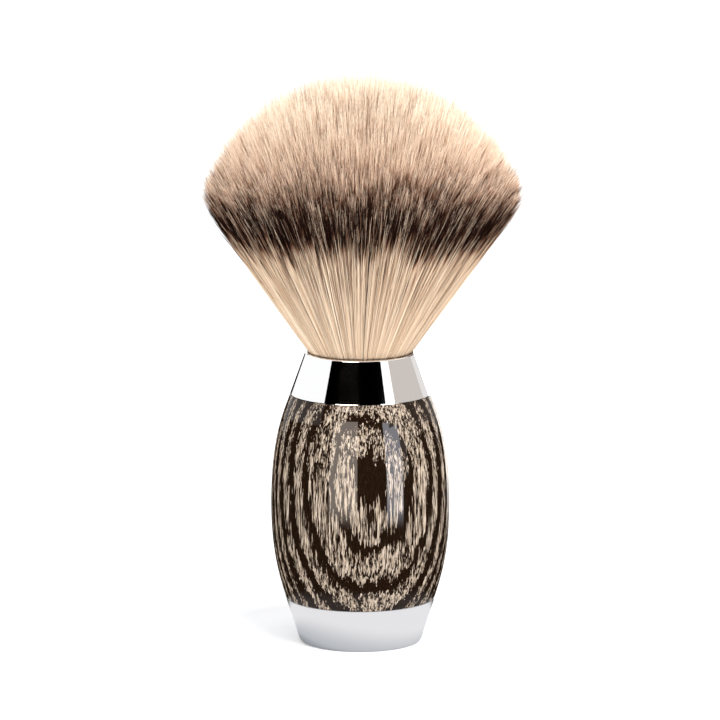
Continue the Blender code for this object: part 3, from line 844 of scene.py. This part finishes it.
class Comb:
    """The way that the fibres lie: which tufts they gather in and how far they stray. Distances across
    the knot are shares of the fan's radius."""

    TUFT_SPREAD = 1.02
    COARSE_TUFTS, COARSE_PULL = 900, 0.20
    STRANDS, STRAND_PULL = 14000, 0.45
    EDGE_START, EDGE_WIDTH, EDGE_DROP = 0.93, 0.07, 1.4 * MM  # the outermost fibres are cut shorter
    CUT, CUT_SPREAD, SHORTEST_CUT, LONGEST_CUT = -0.7 * MM, 1.1 * MM, -4.5 * MM, 1.6 * MM
    STRAYS, STRAY_LENGTH, STRAY_LEAN = 0.012, 0.8 * MM, 5
    LEAN, WAVE, WAVES = 0.014, 0.0045, (1.0, 2.6)
    TIP_DRAW = 0.015
    TAPER_START, TAPER_WIDTH, TAPER = 0.62, 0.38, 0.82
    STRAND_SHIFT, FIBRE_SHIFT = 2.2 * MM, 0.8 * MM  # how much the band's height varies
    OUTER_ALONE, INNER_ALONE = 0.35, 0.12  # share of the fibres dyed unlike their strand

    def __init__(self, seed=7):
        self.rng = np.random.default_rng(seed)
        self.tufts = [
            (on_disc(self.rng, self.COARSE_TUFTS, outer=self.TUFT_SPREAD), self.COARSE_PULL),
            (on_disc(self.rng, self.STRANDS, outer=self.TUFT_SPREAD), self.STRAND_PULL),
        ]
        self.strands = self.tufts[-1][0]
        self.strand_column = self.rng.integers(0, GROUP_COLUMNS, len(self.strands))
        self.strand_shift = self.rng.normal(0, self.STRAND_SHIFT, len(self.strands))

    def lay(self, name, count, inner, outer, segments, reach, thickness):
        """Makes an object of count fibres whose share of the fan's radius runs from inner to outer. Each
        one is drawn for its last reach metres, or for its whole length."""
        home = on_disc(self.rng, count, inner, outer)
        share = np.hypot(*home.T)
        whole = length_to_dome(share)
        length, stray = self.cut(whole, share)
        start = np.full(count, -ROOT_DEPTH) if reach is None else length - reach

        copies = many(fibre_template(segments), count, name)
        corners = np.empty(len(copies.data.vertices) * 3, np.float32)
        copies.data.vertices.foreach_get("co", corners)
        corners = corners.reshape(count, -1, 3).astype(float)
        along = start[:, None] + corners[:, :, 2] * (length - start)[:, None]
        part = np.clip(along / length[:, None], 0, 1)
        centre = self.path(home, share, stray, along, part)
        centre += self.section(home, corners, part, thickness)
        copies.data.vertices.foreach_set("co", centre.astype(np.float32).ravel())

        strand = nearest(home, self.strands)
        shift = self.strand_shift[strand] + self.rng.normal(0, self.FIBRE_SHIFT, count)
        shift += SIDE_DYE * home[:, 0] ** 2
        alone = self.rng.random(count) < (self.OUTER_ALONE if reach is None else self.INNER_ALONE)
        own_column = self.rng.integers(0, GROUP_COLUMNS, count)
        column = np.where(alone, own_column, self.strand_column[strand])
        self.map_dye(copies.data, whole, column, corners, along + shift[:, None])
        copies.data.shade_smooth()
        copies.data.update()
        return copies

    def cut(self, whole, share):
        """Each fibre's own length, from its length to the dome, and whether it strays."""
        count = len(whole)
        edge = np.clip((share - self.EDGE_START) / self.EDGE_WIDTH, 0, 1)
        length = whole - edge**2 * self.EDGE_DROP
        uneven = self.rng.normal(self.CUT, self.CUT_SPREAD, count)
        length += np.clip(uneven, self.SHORTEST_CUT, self.LONGEST_CUT)
        stray = self.rng.random(count) < self.STRAYS
        length[stray] += self.rng.uniform(0, self.STRAY_LENGTH, stray.sum())
        return length, stray

    def path(self, home, share, stray, along, part):
        """Where each corner's point on its fibre's middle line lies. Tufts draw the fibres together
        towards the tips, and each fibre bends a little by itself."""
        rng, count = self.rng, len(home)
        spot = np.repeat(home[:, None, :], part.shape[1], 1)
        for centres, pull in self.tufts:
            drawn = pull * part**2.2
            spot += drawn[:, :, None] * (centres[nearest(home, centres)] - home)[:, None, :]
        lean = rng.normal(0, self.LEAN, (count, 2))
        lean[stray] *= self.STRAY_LEAN
        spot += (part**2)[:, :, None] * lean[:, None, :]
        wave = rng.normal(0, self.WAVE, (count, 2))
        cycles, offset = rng.uniform(*self.WAVES, count), rng.uniform(0, math.tau, count)
        swing = np.sin(part * cycles[:, None] * math.tau + offset[:, None]) * part
        spot += swing[:, :, None] * wave[:, None, :]

        height = along * rise_of(share)[:, None]
        spread = (FAN_RIM_RADIUS + FAN_SLOPE * height) * (1 - self.TIP_DRAW * part)
        centre = np.dstack([spot * spread[:, :, None], RIM_Z + height])
        centre[:, :, 0] += KNOT_SWAY * part**2
        out = np.hypot(centre[:, :, 0], centre[:, :, 1])
        centre[:, :, :2] *= np.minimum(1, WIDEST / np.maximum(out, NEAR))[:, :, None]
        return centre

    def section(self, home, corners, part, thickness):
        """How far each corner stands from its fibre's middle line. The fibres taper to fine tips."""
        rng, count = self.rng, len(home)
        tilt = np.stack([home[:, 0] * FAN_SLOPE, home[:, 1] * FAN_SLOPE, np.ones(count)], 1)
        tilt /= np.linalg.norm(tilt, axis=1)[:, None]
        angle = rng.uniform(0, math.tau, count)
        first = np.cross(tilt, np.stack([np.cos(angle), np.sin(angle), np.zeros(count)], 1))
        first /= np.linalg.norm(first, axis=1)[:, None]
        second = np.cross(tilt, first)
        girth = thickness / 2 * rng.uniform(0.75, 1.25, count)[:, None]
        taper = np.clip(part - self.TAPER_START, 0, 1) ** 1.3 / self.TAPER_WIDTH**1.3
        girth = girth * (1 - self.TAPER * taper)
        aside = (corners[:, :, 0] * girth)[:, :, None] * first[:, None, :]
        return aside + (corners[:, :, 1] * girth)[:, :, None] * second[:, None, :]

    def map_dye(self, mesh, length, chosen, corners, along):
        """Maps each fibre to a column of the dye chart, and the distance along it to the chart's height.
        The columns stand in groups from the shortest fibres to the longest."""
        group = np.clip((length - SHORTEST) / (LONGEST - SHORTEST) * LENGTH_GROUPS, 0, LENGTH_GROUPS - 1)
        column = group.astype(int) * GROUP_COLUMNS + chosen
        side = (np.arctan2(corners[:, :, 1], corners[:, :, 0]) / math.tau) % 1.0
        across = (column[:, None] + 0.15 + 0.7 * side) / DYE_COLUMNS
        up = np.clip((along - DYE_START) / DYE_LENGTH, 0.001, 0.999)
        chart = np.stack([across, up], 2).reshape(-1, 2)
        index = np.empty(len(mesh.loops), np.int32)
        mesh.loops.foreach_get("vertex_index", index)
        layer = mesh.uv_layers.new(name=FIBRE_MAP)
        layer.data.foreach_set("uv", chart[index].astype(np.float32).ravel())


# Colours of the fibres beside the cream and the band, and of the painted shade in the knot's depth
PALE_TIP = (1.0, 0.89, 0.75, 1.0)
BROWN_HAIR = (0.24, 0.12, 0.075, 1.0)
ABOVE_BAND = (0.66, 0.41, 0.265, 1.0)
BAND_EDGE = (0.34, 0.15, 0.085, 1.0)
# painted shade deep between the dome's fibres
DOME_PAINTED_SHADE = (0.17, 0.075, 0.042, 1.0)
# painted shadow on the knot's core
CORE_SHADOW = (0.05, 0.028, 0.02, 1.0)


def fibre_dye_group(settings):
    """The colour of a fibre from its column and the distance along it: cream, a dark band, cream, and
    painted shade below the tips of the dome's fibres. All the distances are in millimetres."""
    group = bpy.data.node_groups.new("fibre dye", "ShaderNodeTree")
    group_socket(group, "Colour", "OUTPUT", "NodeSocketColor")
    result = group.nodes.new("NodeGroupOutput")
    chart = add(group, "UVMap", uv_map=FIBRE_MAP).outputs[0]
    parts = add(group, "SeparateXYZ", {0: chart})
    column = calc(group, "FLOOR", calc(group, "MULTIPLY", parts.outputs[0], DYE_COLUMNS))
    along = calc(group, "MULTIPLY_ADD", parts.outputs[1], DYE_LENGTH / MM, DYE_START / MM)
    length_group = calc(group, "FLOOR", calc(group, "DIVIDE", column, GROUP_COLUMNS))
    step = (LONGEST - SHORTEST) / LENGTH_GROUPS / MM
    length = calc(group, "MULTIPLY_ADD", length_group, step, SHORTEST / MM + step / 2)
    below_tip = calc(group, "SUBTRACT", length, along)
    chance = add(group, "TexWhiteNoise", {"W": column}, noise_dimensions="1D")
    draws = add(group, "SeparateColor", {0: chance.outputs["Color"]}).outputs
    # The band. Some fibres hardly take the dye.
    middle = settings.band_height / MM
    start = ease(group, along, middle - 11.0, middle - 5.0)
    stop = ease(group, along, middle + 3.0, middle + 8.5, 1.0, 0.0)
    strength = ease(group, draws[0], 0.08, 0.16, 0.1, 1.0)
    band = calc(group, "MULTIPLY", calc(group, "MULTIPLY", start, stop), strength)
    # The cream differs from fibre to fibre and pales at the tips.
    darkest, lightest = shaded(settings.cream, 0.70, 0.61, 0.54), shaded(settings.cream, 1.08, 1.10, 1.14)
    pale = blend_colour(group, draws[1], darkest, lightest)
    pale = blend_colour(group, ease(group, below_tip, 0.5, 5.0, 0.6, 0.0), pale, PALE_TIP)
    # A few fibres are brown for some way, mostly higher up.
    spot = add(group, "CombineXYZ", {0: calc(group, "MULTIPLY", column, 7.3), 1: along}).outputs[0]
    patch = noise(group, stretch(group, spot, (1.0, 0.09, 1.0)), 1.0, 1.0)
    browned = calc(group, "ADD", draws[2], calc(group, "MULTIPLY_ADD", patch, 0.9, -0.45))
    hair, higher = ease(group, browned, 0.82, 0.92, 0.0, 0.8), ease(group, along, 4.0, 30.0, 0.35, 1.0)
    pale = blend_colour(group, calc(group, "MULTIPLY", hair, higher), pale, BROWN_HAIR)
    # Warm above the band and at its edges, dark in its middle
    warmth = ease(group, along, middle + 5.0, middle + 19.0, 0.55, 0.0)
    above = calc(group, "MULTIPLY", warmth, ease(group, along, middle - 2.0, middle + 3.0))
    pale = blend_colour(group, above, pale, ABOVE_BAND)
    edged = blend_colour(group, ease(group, band, 0.0, 0.55), pale, BAND_EDGE)
    dyed = blend_colour(group, ease(group, band, 0.3, 0.9), edged, (*settings.band, 1.0))
    # Painted shade: the dome's fibres darken below their tips, for the shade deep between them; the
    # outermost ones stay bright down to the rim.
    inside = ease(group, length_group, 1.0, 2.0)
    deep = calc(group, "MULTIPLY", ease(group, below_tip, 2.5, 9.0, 0.0, 0.7), inside)
    group.links.new(blend_colour(group, deep, dyed, DOME_PAINTED_SHADE), result.inputs["Colour"])
    return group


def fibre_finish(name, settings, shadow=0.0):
    """The fibres' material. shadow darkens it with painted shade, for the depth of the knot."""
    made, tree, shader = new_finish(name, tuple(settings.cream), 0.45)
    shader.inputs["Specular IOR Level"].default_value = 0.04
    dye = tree.nodes.new("ShaderNodeGroup")
    dye.node_tree = bpy.data.node_groups.get("fibre dye") or fibre_dye_group(settings)
    colour = dye.outputs["Colour"]
    if shadow:
        colour = blend_colour(tree, shadow, colour, CORE_SHADOW)
    tree.links.new(colour, shader.inputs["Base Color"])
    return made


CORE_INSET, CORE_SINK = 0.90, 7.5 * MM  # its share of the fan's radius, and its depth under the dome
# How strongly painted shade darkens the core's colour
CORE_SHADE = 0.8


def map_core(mesh):
    """Maps the core to the dye chart: round the knot across, and the distance along the fibres up."""
    chart = mesh.uv_layers.new(name=FIBRE_MAP)
    for face in mesh.polygons:
        middle = math.atan2(face.center.y, face.center.x)
        for loop in face.loop_indices:
            x, y, z = mesh.vertices[mesh.loops[loop].vertex_index].co
            # From the face's middle to the corner, so that no face runs back across the chart
            turn = (math.atan2(y, x) - middle + math.pi) % math.tau - math.pi if x or y else 0.0
            height = z - RIM_Z
            radius = FAN_RIM_RADIUS + FAN_SLOPE * max(height, 0.0)
            along = height / float(rise_of(min(math.hypot(x, y) / radius, 1.0)))
            up = min(max((along - DYE_START) / DYE_LENGTH, 0.001), 0.999)
            chart.data[loop].uv = ((middle % math.tau + turn) / math.tau, up)


class BRUSH_OT_core(bpy.types.Operator):
    """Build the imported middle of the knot, behind the combed fibres"""

    bl_idname = "brush.build_core"
    bl_label = "Knot's middle"

    def execute(self, context):
        shares = np.linspace(0.0, CORE_INSET, 24)
        lengths = length_to_dome(shares) - CORE_SINK
        points = list(zip(shares, lengths))
        points += [(CORE_INSET, along) for along in np.linspace(lengths[-1], -ROOT_DEPTH, 14)[1:]]
        outline = []
        for share, along in points:
            height = along * rise_of(share)
            outline.append((share * (FAN_RIM_RADIUS + FAN_SLOPE * height), RIM_Z + height))
        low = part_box("fibre_bundle")[0].z
        outline += [(TIED_RADIUS, TIED_TOP_Z), (TIED_RADIUS, low), (0.0, low)]
        made = as_object("fibre_core", turned(outline, 128))
        map_core(made.data)
        # The core's colour is darkened with painted shade, for the depth inside the knot.
        finish = finish_named("knot painted shade", fibre_finish, context.scene.brush_knot, CORE_SHADE)
        place(made, "knot", "fibre", finish, "fibre_bundle")
        return {"FINISHED"}


OUTER_GROUPS, OUTER_SHARES, OUTER_SEGMENTS = 3, (0.84, 1.0), 8
DOME_GROUPS, DOME_SHARES, DOME_SEGMENTS, DOME_REACH = 6, (0.0, 0.93), 3, 11 * MM


class BRUSH_OT_fibres(bpy.types.Operator):
    """Comb the fibres of the knot"""

    bl_idname = "brush.comb_fibres"
    bl_label = "Fibres"

    def execute(self, context):
        settings = context.scene.brush_knot
        comb = Comb()
        finish = finish_named("banded fibre", fibre_finish, settings)
        count, thickness = settings.outer_count, settings.thickness
        for number in range(OUTER_GROUPS):
            name = f"outer_fibres_{number + 1}"
            made = comb.lay(name, count, *OUTER_SHARES, OUTER_SEGMENTS, None, thickness)
            place(made, "knot", "fibre", finish)
        count = settings.inner_count
        for number in range(DOME_GROUPS):
            name = f"dome_fibres_{number + 1}"
            made = comb.lay(name, count, *DOME_SHARES, DOME_SEGMENTS, DOME_REACH, thickness)
            place(made, "knot", "fibre", finish)
        return {"FINISHED"}


# The stage

TARGET = Vector((-0.09 * MM, 0.0, 61.4 * MM))  # what the camera looks at
FLOOR_HALF_WIDTH = 6.0
LAMP_PLACE, LAMP_WIDTH, LAMP_POWER = Vector((0.35, -0.6, 0.95)), 0.5, 10.0
SEEN_IN_METAL = 1.04  # the white room's brightness in reflections
REFLECTED_ONLY = ("camera", "diffuse", "transmission", "volume_scatter", "shadow")
CARD_MIDDLE_Z = (BARREL_LOW + BARREL_HIGH) / 2
ARCH_AZIMUTH = 42  # degrees, where a card's arch is measured
# The foot reflects a glowing disc in place of the floor, with painted shadow: its radius, and how far
# along X in millimetres the painted shadow's middle lies, which darkens the left side.
FLOOR_REFLECTION_RADIUS = 36 * MM
PAINTED_SHADOW_SHIFT_X = -2.5  # millimetres
BLACK, WHITE = (0.0, 0.0, 0.0), (1.0, 1.0, 1.0)
WARM, COOL = (1.0, 0.87, 0.77), (0.88, 0.90, 1.0)


def glow(name, colour, strength=1.0):
    """A material that shines and reflects nothing."""
    made, _, shader = new_finish(name, (0.0, 0.0, 0.0), 1.0)
    shader.inputs["Specular IOR Level"].default_value = 0.0
    shader.inputs["Emission Color"].default_value = (*colour, 1.0)
    shader.inputs["Emission Strength"].default_value = strength
    return made


def reflected(made, finish):
    """Makes a stage piece that shows only as a reflection."""
    made.data.materials.append(finish)
    for kind in REFLECTED_ONLY:
        setattr(made, "visible_" + kind, False)


def card(name, azimuths, elevations, distance, colour, strength=1.0, fade=None, arch=0.0):
    """A curved card round the brush that shows only as a reflection. It spans azimuths, from the front
    towards the right, and elevations, all in degrees. fade is how many degrees its light takes to grow
    from its lower edge, and arch is how far its edges have sunk at the arch azimuth."""
    shape = bmesh.new()
    columns = 2 + int((azimuths[1] - azimuths[0]) / 4)
    bmesh.ops.create_grid(shape, x_segments=columns, y_segments=8, size=1.0)
    for vert in shape.verts:
        turn = np.interp(vert.co.x, (-1, 1), azimuths)
        level = np.interp(vert.co.y, (-1, 1), elevations) - arch * (turn / ARCH_AZIMUTH) ** 2
        azimuth, elevation = math.radians(turn), math.radians(level)
        out = distance * math.cos(elevation)
        height = CARD_MIDDLE_Z + distance * math.sin(elevation)
        vert.co = (out * math.sin(azimuth), -out * math.cos(azimuth), height)
    finish = glow(name, colour, strength)
    if fade:
        tree = finish.node_tree
        low = CARD_MIDDLE_Z + distance * math.sin(math.radians(elevations[0]))
        high = CARD_MIDDLE_Z + distance * math.sin(math.radians(elevations[0] + fade))
        height = add(tree, "SeparateXYZ", {0: add(tree, "TexCoord").outputs["Object"]}).outputs[2]
        lit = blend_colour(tree, ease(tree, height, low, high), (*BLACK, 1.0), (*colour, 1.0))
        tree.links.new(lit, tree.nodes["Principled BSDF"].inputs["Emission Color"])
    reflected(as_object(name, shape), finish)


def cards():
    """The cards that the metal and the lacquer reflect. The nearer ones stand in front of the others."""
    card("dark_ground", (-180, 180), (-80, -1), 1.6, BLACK)
    card("dark_front", (-64, 44), (-10, 44), 1.5, BLACK)
    card("dark_back", (130, 205), (17, 44), 1.5, BLACK)
    card("dark_left", (-130, -60), (-8, 24.8), 1.45, BLACK, arch=2.1)
    card("dark_right", (66, 130), (-8, 24.5), 1.45, BLACK, arch=2.1)
    card("left_softbox", (-41, -4), (-15, 28.0), 1.3, WARM, 8.2, fade=7, arch=2.3)
    card("left_softbox_top", (-41, -4), (32.0, 42), 1.3, WARM, 8.2, arch=2.3)
    card("right_softbox", (34, 57), (-15, 27.0), 1.3, COOL, 10.0, fade=7, arch=2.0)
    card("ferrule_stripe", (44, 61), (22, 40), 1.25, WHITE, 1.3)
    card("warm_reflector", (61, 126), (24.5, 42), 1.25, (0.62, 0.57, 0.53), arch=2.1)
    card("pale_reflector", (126, 146), (24.5, 42), 1.25, (0.80, 0.78, 0.76), arch=2.1)
    card("back_softbox", (150, 178), (-15, 14), 1.3, (1.0, 0.97, 0.93), 4.0, fade=7)


def painted_floor_reflection():
    """What the foot reflects in place of the floor: a glowing disc, a painted reflection of a pale floor
    with painted shadow that darkens it towards the line where the foot stands and towards the left, and
    that fades out at the disc's edge. Its shades' distances are in millimetres."""
    shape = bmesh.new()
    bmesh.ops.create_circle(shape, cap_ends=True, segments=64, radius=FLOOR_REFLECTION_RADIUS)
    bmesh.ops.translate(shape, verts=shape.verts[:], vec=(0.0, 0.0, NEAR))
    finish = glow("painted_floor_reflection", (0.8, 0.8, 0.8))
    tree = finish.node_tree
    point = millimetres(tree)
    aside = add(tree, "VectorMath", {0: point, 1: (-PAINTED_SHADOW_SHIFT_X, 0.0, 0.0)}).outputs["Vector"]
    away = add(tree, "VectorMath", {0: aside}, operation="LENGTH").outputs["Value"]
    # Painted contact shadow: darker towards the foot, darkest just under its edge.
    shade = ease(tree, away, 12.0, 21.0)
    colour = blend_colour(tree, shade, (0.48, 0.50, 0.53, 1.0), (0.82, 0.81, 0.83, 1.0))
    under = ease(tree, away, 11.0, 13.5)
    colour = blend_colour(tree, under, (0.30, 0.32, 0.34, 1.0), colour)
    out = add(tree, "VectorMath", {0: point}, operation="LENGTH").outputs["Value"]
    colour = blend_colour(tree, ease(tree, out, 27.0, FLOOR_REFLECTION_RADIUS / MM), colour, (*BLACK, 1.0))
    tree.links.new(colour, tree.nodes["Principled BSDF"].inputs["Emission Color"])
    reflected(as_object("painted_floor_reflection", shape), finish)


def camera(settings):
    lens = bpy.data.cameras.new("camera")
    made = bpy.data.objects.new("camera", lens)
    back = Vector((0.0, -math.cos(settings.elevation), math.sin(settings.elevation)))
    made.location = TARGET + back * settings.distance
    made.rotation_euler = (-back).to_track_quat("-Z", "Y").to_euler()
    lens.lens = lens.sensor_width * settings.distance / settings.view_width
    lens.clip_start, lens.clip_end = 0.01, 50.0
    return made


def white_room(brightness):
    """A white world, which reflections see a little dimmer."""
    world = bpy.data.worlds.new("white room")
    world.use_nodes = True
    room = world.node_tree
    light = room.nodes["Background"]
    light.inputs["Color"].default_value = (*WHITE, 1.0)
    ray = add(room, "LightPath").outputs["Is Glossy Ray"]
    room.links.new(ease(room, ray, 0.0, 1.0, brightness, SEEN_IN_METAL), light.inputs["Strength"])
    return world


def lamp():
    """The one lamp, for the soft shadow beside the foot."""
    light = bpy.data.lights.new("key", "AREA")
    light.energy, light.size = LAMP_POWER, LAMP_WIDTH
    made = bpy.data.objects.new("key", light)
    made.location = LAMP_PLACE
    made.rotation_euler = (TARGET - LAMP_PLACE).to_track_quat("-Z", "Y").to_euler()
    made.visible_glossy = False
    return made


class BRUSH_OT_stage(bpy.types.Operator):
    """Set up the camera, the pale floor and the studio light"""

    bl_idname = "brush.set_stage"
    bl_label = "Stage"

    def execute(self, context):
        scene, settings = context.scene, context.scene.brush_stage
        scene.view_settings.view_transform = "Standard"
        scene.camera = camera(settings)
        scene.collection.objects.link(scene.camera)
        scene.world = white_room(settings.surroundings)
        shape = bmesh.new()
        bmesh.ops.create_grid(shape, x_segments=1, y_segments=1, size=FLOOR_HALF_WIDTH)
        floor = as_object("floor", shape)
        floor.data.materials.append(new_finish("pale floor", (0.75, 0.76, 0.775), 0.7)[0])
        floor.visible_glossy = False
        painted_floor_reflection()
        cards()
        scene.collection.objects.link(lamp())
        return {"FINISHED"}


class BRUSH_PT_panel(bpy.types.Panel):
    """Lists the brush's steps and settings"""

    bl_idname = "BRUSH_PT_panel"
    bl_label = "Shaving Brush"
    bl_space_type = "VIEW_3D"
    bl_region_type = "UI"
    bl_category = "Brush"

    def draw(self, context):
        for settings in ("brush_handle", "brush_knot", "brush_stage"):
            box = self.layout.box()
            group = getattr(context.scene, settings)
            for name in group.__annotations__:
                box.prop(group, name)
        for step in STEPS:
            self.layout.operator(step.bl_idname)


STEPS = (
    BRUSH_OT_base,
    BRUSH_OT_barrel,
    BRUSH_OT_ferrule,
    BRUSH_OT_fittings,
    BRUSH_OT_core,
    BRUSH_OT_fibres,
    BRUSH_OT_stage,
)
SETTINGS = {
    "brush_handle": HandleSettings,
    "brush_knot": FibreSettings,
    "brush_stage": StageSettings,
}


def register():
    for group in SETTINGS.values():
        bpy.utils.register_class(group)
    for step in STEPS:
        bpy.utils.register_class(step)
    bpy.utils.register_class(BRUSH_PT_panel)
    for name, group in SETTINGS.items():
        setattr(bpy.types.Scene, name, PointerProperty(type=group))


def unregister():
    for name in SETTINGS:
        delattr(bpy.types.Scene, name)
    bpy.utils.unregister_class(BRUSH_PT_panel)
    for step in reversed(STEPS):
        bpy.utils.unregister_class(step)
    for group in SETTINGS.values():
        bpy.utils.unregister_class(group)


def main():
    register()
    bpy.ops.brush.build_base()
    bpy.ops.brush.build_barrel()
    bpy.ops.brush.build_ferrule()
    bpy.ops.brush.finish_fittings()
    bpy.ops.brush.build_core()
    bpy.ops.brush.comb_fibres()
    bpy.ops.brush.set_stage()


if __name__ == "__main__":
    main()
